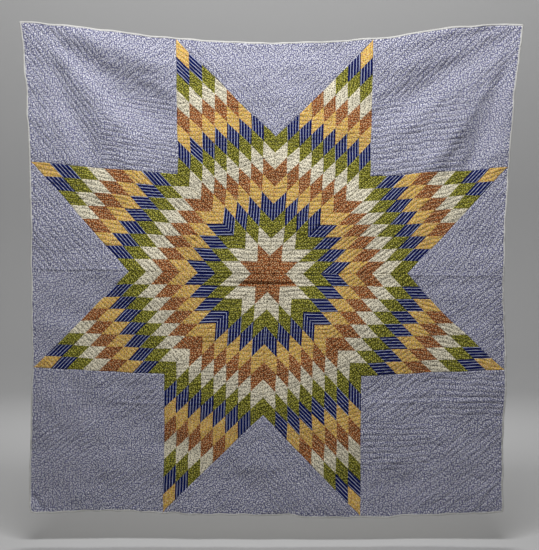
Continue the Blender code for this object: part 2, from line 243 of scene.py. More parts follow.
SQUARE_AREAS = [Area(*area) for area in (
    (-1.01, -0.72, 0.41, 1.01, 123, 0.9, CLOSE_GAP),     # top left
    (-0.72, -0.41, 0.41, 0.74, -6, 1.0, CLOSE_GAP),
    (-0.72, -0.41, 0.74, 1.01, 43, 0.7, WIDE_GAP),
    (0.41, 1.01, 0.74, 1.01, 45, 0.8, CLOSE_GAP),        # top right
    (0.41, 0.82, 0.41, 0.74, 3, 1.1, WIDE_GAP),
    (0.82, 1.01, 0.41, 0.74, 106, 0.65, CLOSE_GAP),
    (-1.01, -0.71, -0.62, -0.41, 90, 0.65, CLOSE_GAP),   # bottom left
    (-0.71, -0.41, -0.62, -0.41, 40, 1.0, CLOSE_GAP),
    (-1.01, -0.71, -0.81, -0.62, 38, 1.0, CLOSE_GAP),
    (-0.71, -0.41, -0.81, -0.62, 88, 0.65, CLOSE_GAP),
    (-1.01, -0.71, -1.01, -0.81, 90, 0.65, CLOSE_GAP),
    (-0.71, -0.41, -1.01, -0.81, 39, 1.0, CLOSE_GAP),
    (0.41, 0.71, -0.61, -0.41, 34, 0.85, WIDE_GAP),      # bottom right
    (0.71, 1.01, -0.61, -0.41, -4, 0.95, WIDE_GAP),
    (0.41, 0.71, -0.81, -0.61, -1, 0.8, WIDE_GAP),
    (0.71, 1.01, -0.81, -0.61, 38, 0.8, WIDE_GAP),
    (0.41, 0.62, -1.01, -0.81, 88, 0.7, CLOSE_GAP),
    (0.62, 1.01, -1.01, -0.81, 35, 0.55, WIDE_GAP),
)]

# Mesh steps along the side of a small diamond, front and back, and the angle of a sharp edge
FRONT_STEPS = 18
BACK_STEPS = 9
SHARP_ANGLE = 55

# Quilting stitches: distance from one to the next, length, width, height over the cloth
STITCH_STEP = 0.0062
STITCH_LENGTH = 0.0034
STITCH_WIDTH = 0.0007
STITCH_HEIGHT = 0.0005
# Sewn lines: how far their ends stay from a seam, step between their points, how far they lie
# forward of the unquilted front, and the shortest one sewn
ROW_END_CLEARANCE = 0.004
SEWN_LINE_STEP = 0.012
SEWN_LINE_FORWARD = 0.00035
SHORTEST_ROW = 3 * STITCH_STEP


# The hanging shape

def direction(degrees):
    """Unit vector in the flat cloth."""
    turn = math.radians(degrees)
    return np.array((math.cos(turn), math.sin(turn)))


def smooth_through(values, at):
    """Smooth curve through the values at the table's places, straight beyond its ends."""
    last = len(TABLE_PLACES) - 1
    values = np.broadcast_to(np.reshape(values, (last + 1, -1)), (last + 1, at.size))
    rises = np.diff(values, axis=0) / np.diff(TABLE_PLACES)[:, None]
    slopes = np.concatenate((rises[:1], (rises[:-1] + rises[1:]) / 2, rises[-1:]))
    inside = np.clip(at, TABLE_PLACES[0], TABLE_PLACES[-1])
    k = np.clip(np.searchsorted(TABLE_PLACES, inside) - 1, 0, last - 1)
    each = np.arange(at.size)
    span = TABLE_PLACES[k + 1] - TABLE_PLACES[k]
    t = (inside - TABLE_PLACES[k]) / span
    start = (1 + 2 * t) * (1 - t) ** 2 * values[k, each] + t * (1 - t) ** 2 * span * slopes[k, each]
    finish = t * t * (3 - 2 * t) * values[k + 1, each] + t * t * (t - 1) * span * slopes[k + 1, each]
    return start + finish + (at - inside) * np.where(at > inside, slopes[-1], slopes[0])


def pull(table, places):
    """Pull that a hanging table gives at flat places, in metres."""
    rows = np.stack([smooth_through(row, places[:, 0]) for row in table])
    return smooth_through(rows, places[:, 1]) * MILLIMETRE


def ease(t):
    """Smooth step from 0 to 1."""
    t = np.clip(t, 0.0, 1.0)
    return t * t * (3 - 2 * t)


def fold_rise(fold, places):
    """How far one fold lifts flat places towards the viewer."""
    start = np.array(fold.start)
    run = np.array(fold.end) - start
    length = math.hypot(*run)
    along = (places - start) @ run / length ** 2
    away = np.abs((places - start) @ np.array((-run[1], run[0]))) / length
    half_width = fold.first_width + (fold.last_width - fold.first_width) * np.clip(along, 0, 1)
    across_shape = (1 + np.cos(math.pi * np.minimum(away / half_width, 1))) / 2
    along_shape = ease(along / FOLD_OPENS_OVER) * ease((FOLD_ENDS_AT - along) / FOLD_CLOSES_OVER)
    return fold.rise * half_width / fold.last_width * across_shape * along_shape


def unevenness(places, wavelength, size, seed, waves=8):
    """Smooth chance field of about minus the size to plus the size."""
    chance = np.random.default_rng(seed)
    total = np.zeros(len(places))
    for _ in range(waves):
        turn, phase = chance.uniform(0, 2 * math.pi, 2)
        length = wavelength * chance.uniform(0.7, 1.4)
        run = np.array((math.cos(turn), math.sin(turn))) * 2 * math.pi / length
        total += np.sin(places @ run + phase)
    return size * (total / math.sqrt(waves))


def lift(places):
    """How far the folds and the uneven cloth stand towards the viewer."""
    total = sum(fold_rise(fold, places) for fold in FOLDS + CREASES)
    for swell in SWELLS:
        total = total + unevenness(places, *swell)
    return total


TOP_EDGE_MIDDLE = np.array(((0.0, HALF_TOP + BINDING_WIDTH),))
TOP_EDGE_HEIGHT = HALF_TOP + BINDING_WIDTH + float(pull(PULL_UP, TOP_EDGE_MIDDLE)[0])
DEPTH_OF_TOP_EDGE = float(sum(fold_rise(fold, TOP_EDGE_MIDDLE) for fold in FOLDS)[0])


def hang(places, forward):
    """Points where flat places hang, moved forward of the middle of the cloth's thickness."""
    near_edge = ease((np.abs(places) - (HALF_TOP - WAVERING_STRIP)) / WAVERING_STRIP)
    waver = unevenness(places, *EDGE_WAVER)
    upright_share = np.where(places[:, 1] < 0, 1.0, CALM_EDGE_SHARE)
    x = places[:, 0] + pull(PULL_RIGHT, places) + waver * near_edge[:, 0] * CALM_EDGE_SHARE
    z = places[:, 1] + pull(PULL_UP, places) + waver * near_edge[:, 1] * upright_share
    x = x + unevenness(places, *DRIFT_ACROSS)
    z = z + unevenness(places, *DRIFT_UP)
    for corner, worn, reach in WORN_CORNERS:
        inward = -np.sign(corner) * worn
        near = np.exp(-((places - corner) ** 2).sum(axis=1) / reach ** 2)
        x, z = x + inward[0] * near, z + inward[1] * near
    y = DEPTH_OF_TOP_EDGE - lift(places) - forward
    return np.stack((x, y, z - TOP_EDGE_HEIGHT), axis=1)


def under_binding(places):
    """Flat places of a panel, with the quilt's rim let out to lie under the binding."""
    near_rim = ease((np.abs(places) - (HALF_TOP - RIM_STRIP)) / RIM_STRIP)
    return places + np.sign(places) * near_rim * UNDER_BINDING


# The quilting

Rows = namedtuple("Rows", "corners origin angle gap rise")
Panel = namedtuple("Panel", "name start first_side second_side half rows")


def edge_distances(corners, places):
    """Distances of places inside each edge of an outline that runs anticlockwise."""
    corners = np.array(corners)
    runs = np.roll(corners, -1, axis=0) - corners
    inward = np.stack((-runs[:, 1], runs[:, 0]), axis=1) / np.hypot(*runs.T)[:, None]
    return places @ inward.T - (corners * inward).sum(axis=1)


def rows_at(panel, places):
    """Which of a panel's sets of rows each place belongs to."""
    depth = [edge_distances(rows.corners, places).min(axis=1) for rows in panel.rows]
    return np.argmax(np.stack(depth), axis=0)


def row_number(rows, places):
    """Count of quilting rows at each place: whole numbers lie on the stitched lines."""
    across = direction(rows.angle + 90)
    return ((places - rows.origin) @ across + unevenness(places, *ROW_WANDER)) / rows.gap


def quilting(panel, places, which):
    """Quilting coordinates: distance along the rows, and the row number."""
    along, number = np.zeros(len(places)), np.zeros(len(places))
    for k, rows in enumerate(panel.rows):
        mine = which == k
        along[mine] = (places[mine] - rows.origin) @ direction(rows.angle)
        number[mine] = row_number(rows, places[mine])
    return np.stack((along, number), axis=1)


def ridge_lift(panel, places):
    """Height of the quilted ridges, which die into the seams and where the areas meet."""
    which = rows_at(panel, places)
    along, number = quilting(panel, places, which).T
    lifted = np.zeros(len(places))
    for k, rows in enumerate(panel.rows):
        mine = which == k
        wave = (1 - np.cos(2 * math.pi * number[mine])) / 2
        in_rows = np.stack((along[mine] / DRAG_STRETCH, number[mine] * rows.gap), axis=1)
        calm = ease(edge_distances(rows.corners, places[mine]).min(axis=1) / AREA_FADES_OVER)
        drag = unevenness(in_rows, *DRAG_LINES)
        lifted[mine] = (RIDGE_HEIGHT * wave ** PUFF_FULLNESS + drag) * rows.rise * calm
    plump = 1 + unevenness(places, *RIDGE_PLUMPNESS)
    depth = edge_distances(panel_outline(panel), places).min(axis=1)
    return lifted * plump * ease(depth / RIDGE_FADES_OVER)


# The cut panels

def panel_outline(panel):
    """Corners of a panel, anticlockwise."""
    first, second = panel.start + panel.first_side, panel.start + panel.second_side
    if panel.half:
        return (panel.start, first, second)
    return (panel.start, first, first + panel.second_side, second)


def area_rows(areas, outline):
    """Sets of rows of the areas that an outline reaches into."""
    outline = np.array(outline)
    sets = []
    for area in areas:
        low, high = np.array((area.left, area.bottom)), np.array((area.right, area.top))
        if (outline.min(axis=0) < high).all() and (outline.max(axis=0) > low).all():
            corners = (low, np.array((high[0], low[1])), high, np.array((low[0], high[1])))
            sets.append(Rows(corners, low, area.angle, area.gap, area.rise))
    return tuple(sets)


def star_point_panel(name, angle):
    """Leaning square of small diamonds, from the star's centre outwards."""
    first, second = direction(angle) * POINT_SIDE, direction(angle + 45) * POINT_SIDE
    start = np.zeros(2)
    rows = area_rows(STAR_AREAS, (start, first, first + second, second))
    return Panel(name, start, first, second, False, rows)


def corner_square_panel(name, right, top):
    """Square in a corner of the quilt."""
    low = np.array((TIP_REACH if right > 0 else -HALF_TOP, TIP_REACH if top > 0 else -HALF_TOP))
    across, up = np.array((POINT_SIDE, 0.0)), np.array((0.0, POINT_SIDE))
    return Panel(name, low, across, up, False, area_rows(SQUARE_AREAS, (low, low + across + up)))


def side_triangle_panel(name, angle, first_rows, second_rows):
    """Triangle between two star points, quilted one way on each half."""
    notch = direction(angle) * POINT_SIDE
    first, second = direction(angle - 45) * POINT_SIDE, direction(angle + 45) * POINT_SIDE
    middle = notch + (first + second) / 2
    rows = (
        Rows((notch, notch + first, middle), notch, first_rows[0], CLOSE_GAP, first_rows[1]),
        Rows((notch, middle, notch + second), notch, second_rows[0], CLOSE_GAP, second_rows[1]),
    )
    return Panel(name, notch, first, second, True, rows)


def panel_grid(panel, steps):
    """Vertex numbers of a panel's grid, -1 where a half panel has none, and their flat places."""
    count = DIAMONDS_PER_SIDE * steps
    i, j = np.meshgrid(np.arange(count + 1), np.arange(count + 1), indexing="ij")
    present = (i + j <= count) if panel.half else np.ones_like(i, dtype=bool)
    numbers = np.full(i.shape, -1)
    numbers[present] = np.arange(present.sum())
    shares = np.stack((i[present], j[present]), axis=1) / count
    places = panel.start + shares[:, :1] * panel.first_side + shares[:, 1:] * panel.second_side
    return numbers, places, shares * DIAMONDS_PER_SIDE


def grid_faces(numbers, half):
    """Four-sided faces of a grid and, along a half panel's long side, the triangles."""
    count = len(numbers) - 1
    i, j = np.meshgrid(np.arange(count), np.arange(count), indexing="ij")
    whole = (i + j <= count - 2) if half else np.ones_like(i, dtype=bool)
    a, b = i[whole], j[whole]
    fours = np.stack((numbers[a, b], numbers[a + 1, b], numbers[a + 1, b + 1], numbers[a, b + 1]), axis=1)
    a = np.arange(count if half else 0)
    b = count - 1 - a
    threes = np.stack((numbers[a, b], numbers[a + 1, b], numbers[a, b + 1]), axis=1)
    return fours, threes


def grid_border(numbers, half):
    """Vertex numbers round a grid, anticlockwise from its first corner and back to it."""
    count = len(numbers) - 1
    up = np.arange(count + 1)
    if half:
        parts = (numbers[up, 0], numbers[up[::-1], up][1:], numbers[0, up[::-1]][1:])
    else:
        down = up[::-1]
        parts = (numbers[up, 0], numbers[count, up][1:], numbers[down, count][1:], numbers[0, down][1:])
    return np.concatenate(parts)


def wall_faces(front_border, back_border):
    """Triangles of the wall between the front's border and the coarser border of the back."""
    ratio = (len(front_border) - 1) // (len(back_border) - 1)
    faces = []
    for k in range(len(back_border) - 1):
        near, far = back_border[k], back_border[k + 1]
        edge = front_border[k * ratio:(k + 1) * ratio + 1]
        faces += [(edge[0], near, edge[1]), (edge[1], near, far)]
        faces += [(edge[m], far, edge[m + 1]) for m in range(1, ratio)]
    return np.array(faces)


def put(name, data):
    """New object of the data, in the scene."""
    thing = bpy.data.objects.new(name, data)
    bpy.context.scene.collection.objects.link(thing)
    return thing


def cloth_object(name, points, fours, threes, layers, finish_numbers, finishes):
    """Mesh object from numbered points, its faces, its UV layers and the finish of each face."""
    mesh = bpy.data.meshes.new(name)
    corners = np.concatenate((fours.ravel(), threes.ravel()))
    starts = np.concatenate((np.arange(len(fours)) * 4, len(fours) * 4 + np.arange(len(threes)) * 3))
    mesh.vertices.add(len(points))
    mesh.vertices.foreach_set("co", points.astype(np.float32).ravel())
    mesh.loops.add(len(corners))
    mesh.loops.foreach_set("vertex_index", corners.astype(np.int32))
    mesh.polygons.add(len(starts))
    mesh.polygons.foreach_set("loop_start", starts.astype(np.int32))
    mesh.polygons.foreach_set("material_index", finish_numbers.astype(np.int32))
    mesh.update(calc_edges=True)
    for layer_name, values in layers.items():
        layer = mesh.uv_layers.new(name=layer_name)
        layer.uv.foreach_set("vector", values.astype(np.float32).ravel())
    for finish in finishes:
        mesh.materials.append(finish)
    mesh.shade_smooth()
    mesh.set_sharp_from_angle(angle=math.radians(SHARP_ANGLE))
    return put(name, mesh)


def patch_print(places, patches, angles, seed):
    """Print coordinates: each patch is cut from its cotton at its own angle and place."""
    chance = np.random.default_rng(seed)
    offsets = chance.uniform(0, COTTON_LENGTH, (patches.max() + 1, 2))
    turn = np.radians(angles)
    u = places[:, 0] * np.cos(turn) + places[:, 1] * np.sin(turn)
    v = places[:, 1] * np.cos(turn) - places[:, 0] * np.sin(turn)
    return np.stack((u, v), axis=1) + offsets[patches]


def sew_panel(panel, finishes, patch_of, cotton_numbers, print_angles, seed):
    """One panel of the quilt: quilted front, plainer back and the walls in its seams.

    patch_of tells each place's patch. cotton_numbers and print_angles hold a value for each patch, and
    the backing is the last finish.
    """
    front, front_places, front_shares = panel_grid(panel, FRONT_STEPS)
    back, back_places, _ = panel_grid(panel, BACK_STEPS)
    pieced = len(cotton_numbers) > 1
    on_seam = pieced & (np.abs(front_shares - np.round(front_shares)) < 1e-6).any(axis=1)
    depth = edge_distances(panel_outline(panel), front_places).min(axis=1)
    forward = CLOTH_THICKNESS / 2 + ridge_lift(panel, front_places)
    forward -= np.where(on_seam, PATCH_SEAM_DEPTH, 0.0)
    forward -= np.where(depth < MILLIMETRE, PANEL_SEAM_DEPTH, 0.0)
    behind = -CLOTH_THICKNESS / 2 - BACK_RIDGE_SHARE * ridge_lift(panel, back_places)
    points = np.concatenate((
        hang(under_binding(front_places), forward),
        hang(under_binding(back_places), behind),
    ))
    places = np.concatenate((front_places, back_places))

    back = np.where(back < 0, -1, back + len(front_places))
    front_fours, front_threes = grid_faces(front, panel.half)
    back_fours, back_threes = grid_faces(back, panel.half)
    walls = wall_faces(grid_border(front, panel.half), grid_border(back, panel.half))
    fours = np.concatenate((front_fours, back_fours[:, ::-1]))
    threes = np.concatenate((front_threes, back_threes[:, ::-1], walls))

    face_places = np.concatenate((places[fours].mean(axis=1), places[threes].mean(axis=1)))
    size = np.repeat((4, 3), (len(fours), len(threes)))
    runs = (len(front_fours), len(back_fours), len(front_threes), len(back_threes) + len(walls))
    is_front = np.repeat((True, False, True, False), runs)
    patches = patch_of(face_places)
    finish_numbers = np.where(is_front, cotton_numbers[patches], len(finishes) - 1)
    angles = np.where(is_front, print_angles[patches], 0.0)
    patches = np.where(is_front, patches, 0)

    corner_places = places[np.concatenate((fours.ravel(), threes.ravel()))]
    which = rows_at(panel, face_places)
    layers = {
        "print": patch_print(corner_places, np.repeat(patches, size), np.repeat(angles, size), seed),
        "quilting": quilting(panel, corner_places, np.repeat(which, size)),
    }
    return cloth_object(panel.name + "_cloth", points, fours, threes, layers, finish_numbers, finishes)


# Cottons

# Relief of a quilted cotton: depth of the dents along the rows and of the needle's tucks, then noise
# to the metre, detail and height of the crumples and puckers
DENT_DEPTH = 0.0007
TUCK_DEPTH = 0.0003
CRUMPLE = (95.0, 3.0, 0.0016)
PUCKER = (240.0, 2.0, 0.0006)
# Length of cotton that patches are cut from, threads to the metre, height of the weave, and distance
# from one navy stripe to the next
COTTON_LENGTH = 3.0
THREADS_PER_METRE = 1450.0
FINE_WEAVE = 0.00006
PLAIN_WEAVE = 0.00010
STRIPE_STEP = 0.0120

# Prints: the ground's colour, then the motifs laid on it in turn. A motif's spots stand so many to the
# metre, are whole inside one share of their spacing and gone past another, and lie more or less
# scattered. A nudge (noise to the metre, amount) makes them less round. Colours are linear light.
Motif = namedtuple("Motif", "per_metre whole_inside gone_past scatter nudge share colour")
LAVENDER_PALE = (0.94, 0.94, 0.98)
LAVENDER_DARK = (0.045, 0.045, 0.1)
PRINTS = {
    "lavender sprig cotton": ((0.186, 0.189, 0.314), (
        Motif(240.0, 0.2, 0.3, 1.0, (240.0, 0.004), 0.9, LAVENDER_DARK),  # leaves
        Motif(160.0, 0.27, 0.33, 0.8, (300.0, 0.003), 1.0, LAVENDER_PALE),  # blossoms
        Motif(160.0, 0.06, 0.11, 0.8, (300.0, 0.003), 1.0, LAVENDER_DARK),  # their hearts
    )),
    "rust dotted cotton": ((0.345, 0.1, 0.024), (
        Motif(135.0, 0.27, 0.37, 0.8, (300.0, 0.003), 0.95, (0.048, 0.02, 0.01)),  # brown specks
        Motif(124.0, 0.21, 0.27, 0.75, None, 1.0, (0.82, 0.54, 0.28)),  # cream dots
    )),
    "cream shirting cotton": ((0.893, 0.824, 0.632), (
        Motif(134.0, 0.23, 0.33, 0.85, (240.0, 0.005), 0.95, (0.095, 0.078, 0.05)),  # brown sprigs
        Motif(240.0, 0.1, 0.18, 1.0, None, 0.5, (0.3, 0.29, 0.28)),  # grey specks
    )),
    "green leaf cotton": ((0.179, 0.17, 0.014), (
        Motif(125.0, 0.29, 0.39, 0.85, (240.0, 0.005), 0.95, (0.026, 0.03, 0.007)),  # dark leaves
        Motif(120.0, 0.21, 0.28, 0.7, None, 0.95, (0.66, 0.62, 0.13)),  # mustard specks
    )),
    "gold mottled cotton": ((0.768, 0.496, 0.104), (
        Motif(90.0, 0.2, 0.4, 1.0, (160.0, 0.008), 0.7, (0.704, 0.337, 0.168)),  # rose mottling
        Motif(126.0, 0.21, 0.3, 0.85, None, 0.85, (0.17, 0.085, 0.025)),  # brown specks
        Motif(118.0, 0.16, 0.22, 0.8, (160.0, 0.008), 1.0, (0.9, 0.78, 0.45)),  # pale flecks
    )),
}


class Nodes:
    """A node tree, with a short call to add to it."""

    def __init__(self, tree):
        self.tree = tree

    def give(self, node, values):
        """The node, with each named input set or linked."""
        for key, value in values.items():
            if isinstance(value, bpy.types.NodeSocket):
                self.tree.links.new(value, node.inputs[key])
            else:
                node.inputs[key].default_value = value
        return node

    def add(self, kind, values=None, **settings):
        """A new node with its settings and its inputs."""
        node = self.tree.nodes.new(kind)
        for key, value in settings.items():
            setattr(node, key, value)
        return self.give(node, values or {})


class Recipe(Nodes):
    """A material's node tree."""

    def __init__(self, name):
        self.material = bpy.data.materials.new(name)
        self.material.use_nodes = True
        super().__init__(self.material.node_tree)

    def finish(self, values):
        """The material, with the inputs of its surface set or linked."""
        self.give(self.tree.nodes["Principled BSDF"], values)
        return self.material

    def layer(self, name):
        """One of the mesh's UV layers."""
        return self.add("ShaderNodeUVMap", uv_map=name).outputs["UV"]

    def body(self):
        """Coordinates in the object's own space."""
        return self.add("ShaderNodeTexCoord").outputs["Object"]

    def axes(self, where):
        """A vector's separate outputs X, Y and Z."""
        return self.add("ShaderNodeSeparateXYZ", {"Vector": where}).outputs

    def sum(self, operation, *values):
        """Result of a sum on one to three values."""
        return self.add("ShaderNodeMath", dict(enumerate(values)), operation=operation).outputs[0]

    def vector_sum(self, operation, values):
        """Result of a sum on vectors."""
        return self.add("ShaderNodeVectorMath", values, operation=operation).outputs[0]

    def step(self, value, low, high):
        """0 below low, 1 above high, smooth between."""
        limits = {"Value": value, "From Min": low, "From Max": high}
        return self.add("ShaderNodeMapRange", limits, interpolation_type="SMOOTHSTEP").outputs["Result"]

    def spots(self, where, per_metre, low, high, scatter):
        """1 in round spots scattered over the cloth, 0 between them."""
        cells = {"Vector": where, "Scale": per_metre, "Randomness": scatter}
        distance = self.add("ShaderNodeTexVoronoi", cells, voronoi_dimensions="2D").outputs["Distance"]
        return self.sum("SUBTRACT", 1.0, self.step(distance, low, high))

    def noise(self, where, per_metre, detail, output="Fac"):
        """Soft chance pattern of about 0.3 to 0.7."""
        settings = {"Vector": where, "Scale": per_metre, "Detail": detail}
        return self.add("ShaderNodeTexNoise", settings).outputs[output]

    def nudged(self, where, per_metre, amount):
        """Coordinates nudged by a soft chance pattern."""
        noise = self.noise(where, per_metre, 1.0, "Color")
        centred = self.vector_sum("SUBTRACT", {0: noise, 1: (0.5, 0.5, 0.5)})
        nudge = self.vector_sum("SCALE", {0: centred, "Scale": amount})
        return self.vector_sum("ADD", {0: where, 1: nudge})

    def blend(self, share, under, over):
        """Colour over laid on colour under by a share."""
        under, over = ((*tint, 1.0) if isinstance(tint, tuple) else tint for tint in (under, over))
        return self.add("ShaderNodeMix", {0: share, 6: under, 7: over}, data_type="RGBA").outputs[2]

    def bump(self, height, **settings):
        """Normals tilted by a height."""
        return self.add("ShaderNodeBump", {"Height": height, **settings}).outputs["Normal"]


def weave_height(recipe, where):
    """Plain weave: over and under threads both ways."""
    turns = 2 * math.pi * THREADS_PER_METRE / 2
    threads = recipe.axes(where)
    warp, weft = (recipe.sum("SINE", recipe.sum("MULTIPLY", threads[axis], turns)) for axis in "XY")
    return recipe.sum("MULTIPLY", warp, weft)


def quilted_cotton(recipe, colour, where, weave=FINE_WEAVE):
    """Finishes a cotton: quilting dents with painted shade in them, needle tucks, weave, soft crumple,
    fade and sheen.
    """
    quilting_axes = recipe.axes(recipe.layer("quilting"))
    from_line = recipe.sum("PINGPONG", quilting_axes["Y"], 0.5)
    in_dent = recipe.sum("SUBTRACT", 1.0, recipe.step(from_line, 0.0, 0.20))
    along = recipe.sum("FRACT", recipe.sum("DIVIDE", quilting_axes["X"], STITCH_STEP))
    near_hole = recipe.sum("PINGPONG", recipe.sum("ADD", along, 0.5), 0.5)
    tuck = recipe.sum("MULTIPLY", recipe.step(near_hole, 0.28, 0.5), in_dent)

    body = recipe.body()
    crumple, pucker = recipe.noise(body, *CRUMPLE[:2]), recipe.noise(body, *PUCKER[:2])
    height = 0.0
    for shape, rise in (
        (in_dent, -DENT_DEPTH), (tuck, -TUCK_DEPTH), (crumple, CRUMPLE[2]), (pucker, PUCKER[2]),
        (weave_height(recipe, where), weave),
    ):
        height = recipe.sum("MULTIPLY_ADD", shape, rise, height)

    faded = recipe.step(recipe.noise(body, 2.2, 3.0), 0.35, 0.7)
    threads = recipe.step(recipe.noise(where, 900.0, 1.0), 0.4, 0.65)
    # Darkens the colour: random fading, painted shade along the dents of the quilting rows, and uneven
    # thread tone.
    for share, darker in ((faded, 0.07), (in_dent, 0.14), (threads, 0.08)):
        colour = recipe.blend(recipe.sum("MULTIPLY", share, darker), colour, (0.0, 0.0, 0.0))
    roughness = recipe.add("ShaderNodeMapRange", {"Value": crumple, "To Min": 0.84, "To Max": 0.96})
    return recipe.finish({
        "Base Color": colour,
        "Normal": recipe.bump(height, Strength=1.0, Distance=1.0),
        "Roughness": roughness.outputs["Result"],
        "Sheen Weight": 0.06,
        "Sheen Roughness": 0.5,
        "Specular IOR Level": 0.12,
    })


def printed_cotton(name):
    """Cotton with one of the prints."""
    recipe = Recipe(name)
    where = recipe.layer("print")
    places = {None: where}
    colour, motifs = PRINTS[name]
    for motif in motifs:
        if motif.nudge not in places:
            places[motif.nudge] = recipe.nudged(where, *motif.nudge)
        spots = recipe.spots(places[motif.nudge], *motif[:4])
        colour = recipe.blend(recipe.sum("MULTIPLY", spots, motif.share), colour, motif.colour)
    return quilted_cotton(recipe, colour, where)


def navy_cotton():
    """Navy ground with pale pinstripes."""
    recipe = Recipe("navy stripe cotton")
    where = recipe.layer("print")
    across = recipe.axes(recipe.nudged(where, 60.0, 0.0015))["Y"]
    from_stripe = recipe.sum("PINGPONG", recipe.sum("DIVIDE", across, STRIPE_STEP), 0.5)
    stripe = recipe.sum("SUBTRACT", 1.0, recipe.step(from_stripe, 0.045, 0.085))
    broken = recipe.step(recipe.noise(where, 300.0, 1.0), 0.30, 0.50)
    stripe = recipe.sum("MULTIPLY", stripe, recipe.sum("MULTIPLY_ADD", broken, 0.25, 0.75))
    colour = recipe.blend(stripe, (0.002, 0.006, 0.086), (0.69, 0.75, 0.95))
    return quilted_cotton(recipe, colour, where)


def plain_cotton(name, colour_light, colour_dark):
    """Unprinted cotton with slubs in its threads."""
    recipe = Recipe(name)
    where = recipe.layer("print")
    slubs = recipe.step(recipe.noise(where, 520.0, 2.0), 0.35, 0.65)
    return quilted_cotton(recipe, recipe.blend(slubs, colour_light, colour_dark), where, PLAIN_WEAVE)


def thread_finish():
    """Twisted cotton thread, off-white."""
    recipe = Recipe("quilting thread")
    twist = recipe.noise(recipe.body(), 1500.0, 1.0)
    ply = recipe.step(twist, 0.35, 0.65)
    return recipe.finish({
        "Base Color": recipe.blend(ply, (0.56, 0.55, 0.53), (0.40, 0.39, 0.38)),
        "Normal": recipe.bump(twist, Strength=0.4, Distance=0.0003),
        "Roughness": 0.75,
        "Sheen Weight": 0.2,
    })


# Stitches

def stitch_mesh(finish):
    """One stitch: a lozenge of thread with its ends in the cloth."""
    half_length, half_width = STITCH_LENGTH / 2, STITCH_WIDTH / 2
    ends = [(-half_length, 0, 0), (half_length, 0, 0)]
    crown = [(0, half_width, STITCH_HEIGHT), (0, -half_width, STITCH_HEIGHT)]
    mesh = bpy.data.meshes.new("stitch")
    mesh.from_pydata(ends + crown, [], [(0, 3, 2), (1, 2, 3), (0, 2, 1), (0, 1, 3)])
    mesh.materials.append(finish)
    return bpy.data.objects.new("stitch", mesh)


def running_stitch_tree(finish):
    """Geometry Nodes: stitches laid along sewn lines at an even step, each a little different."""
    tree = bpy.data.node_groups.new("running stitch", "GeometryNodeTree")
    sockets = {}
    for name, way, kind in (
        ("Sewn lines", "INPUT", "Geometry"), ("Step", "INPUT", "Float"), ("Stitch", "INPUT", "Object"),
        ("Slant", "INPUT", "Float"), ("Stitches", "OUTPUT", "Geometry"),
    ):
        socket = tree.interface.new_socket(name, in_out=way, socket_type="NodeSocket" + kind)
        sockets[name] = socket.identifier

    add = Nodes(tree).add
    given = add("NodeGroupInput").outputs
    lines = {"Curve": given["Sewn lines"], "Length": given["Step"]}
    points = add("GeometryNodeResampleCurve", lines, mode="LENGTH").outputs["Curve"]
    tangent = add("GeometryNodeInputTangent").outputs["Tangent"]
    along = add("FunctionNodeAlignRotationToVector", {"Vector": tangent}, axis="X").outputs["Rotation"]
    forward = {"Rotation": along, "Vector": (0.0, -1.0, 0.0)}
    outward = add("FunctionNodeAlignRotationToVector", forward, axis="Z", pivot_axis="X")
    slanted = add("ShaderNodeCombineXYZ", {"Z": given["Slant"]}).outputs["Vector"]
    turns = {"Rotation": outward.outputs["Rotation"], "Rotate By": slanted}
    turned = add("FunctionNodeRotateRotation", turns, rotation_space="LOCAL").outputs["Rotation"]
    limits = {"Min": (0.80, 0.85, 0.85), "Max": (1.15, 1.20, 1.20), "Seed": 5}
    sizes = add("FunctionNodeRandomValue", limits, data_type="FLOAT_VECTOR").outputs[0]
    stitch = add("GeometryNodeObjectInfo", {"Object": given["Stitch"]}).outputs["Geometry"]
    laid = {"Points": points, "Instance": stitch, "Rotation": turned, "Scale": sizes}
    stitches = add("GeometryNodeInstanceOnPoints", laid).outputs["Instances"]
    realized = add("GeometryNodeRealizeInstances", {"Geometry": stitches}).outputs["Geometry"]
    painted = add("GeometryNodeSetMaterial", {"Geometry": realized, "Material": finish})
    add("NodeGroupOutput", {"Stitches": painted.outputs["Geometry"]})
    return tree, sockets


def sew_lines(name, lines, slant, tree, sockets, stitch):
    """Stitches along lines of points, made by the tree and turned into one plain mesh."""
    curve = bpy.data.curves.new(name + "_lines", "CURVE")
    curve.dimensions = "3D"
    for points in lines:
        spline = curve.splines.new("POLY")
        spline.points.add(len(points) - 1)
        spline.points.foreach_set("co", np.column_stack((points, np.ones(len(points)))).ravel())
    guide = put(name + "_lines", curve)
    sewing = guide.modifiers.new("sewing", "NODES")
    sewing.node_group = tree
    sewing[sockets["Step"]] = STITCH_STEP
    sewing[sockets["Slant"]] = slant
    sewing[sockets["Stitch"]] = stitch
    guide.update_tag()
    settled = guide.evaluated_get(bpy.context.evaluated_depsgraph_get())
    mesh = bpy.data.meshes.new_from_object(settled)
    guide.modifiers.remove(sewing)
    bpy.data.objects.remove(guide)
    mesh.name = name
    return put(name, mesh)


def clip_line(outlines, origin, run):
    """Where a straight line runs inside all the outlines, as distances from its origin."""
    low, high = -math.inf, math.inf
    at_origin = np.concatenate([edge_distances(corners, origin[None, :])[0] for corners in outlines])
    at_run = np.concatenate([edge_distances(corners, (origin + run)[None, :])[0] for corners in outlines])
    for start, slope in zip(at_origin - ROW_END_CLEARANCE, at_run - at_origin):
        if abs(slope) < 1e-9:
            if start < 0:
                return 0.0, 0.0
        elif slope > 0:
            low = max(low, -start / slope)
        else:
            high = min(high, -start / slope)
    return low, high


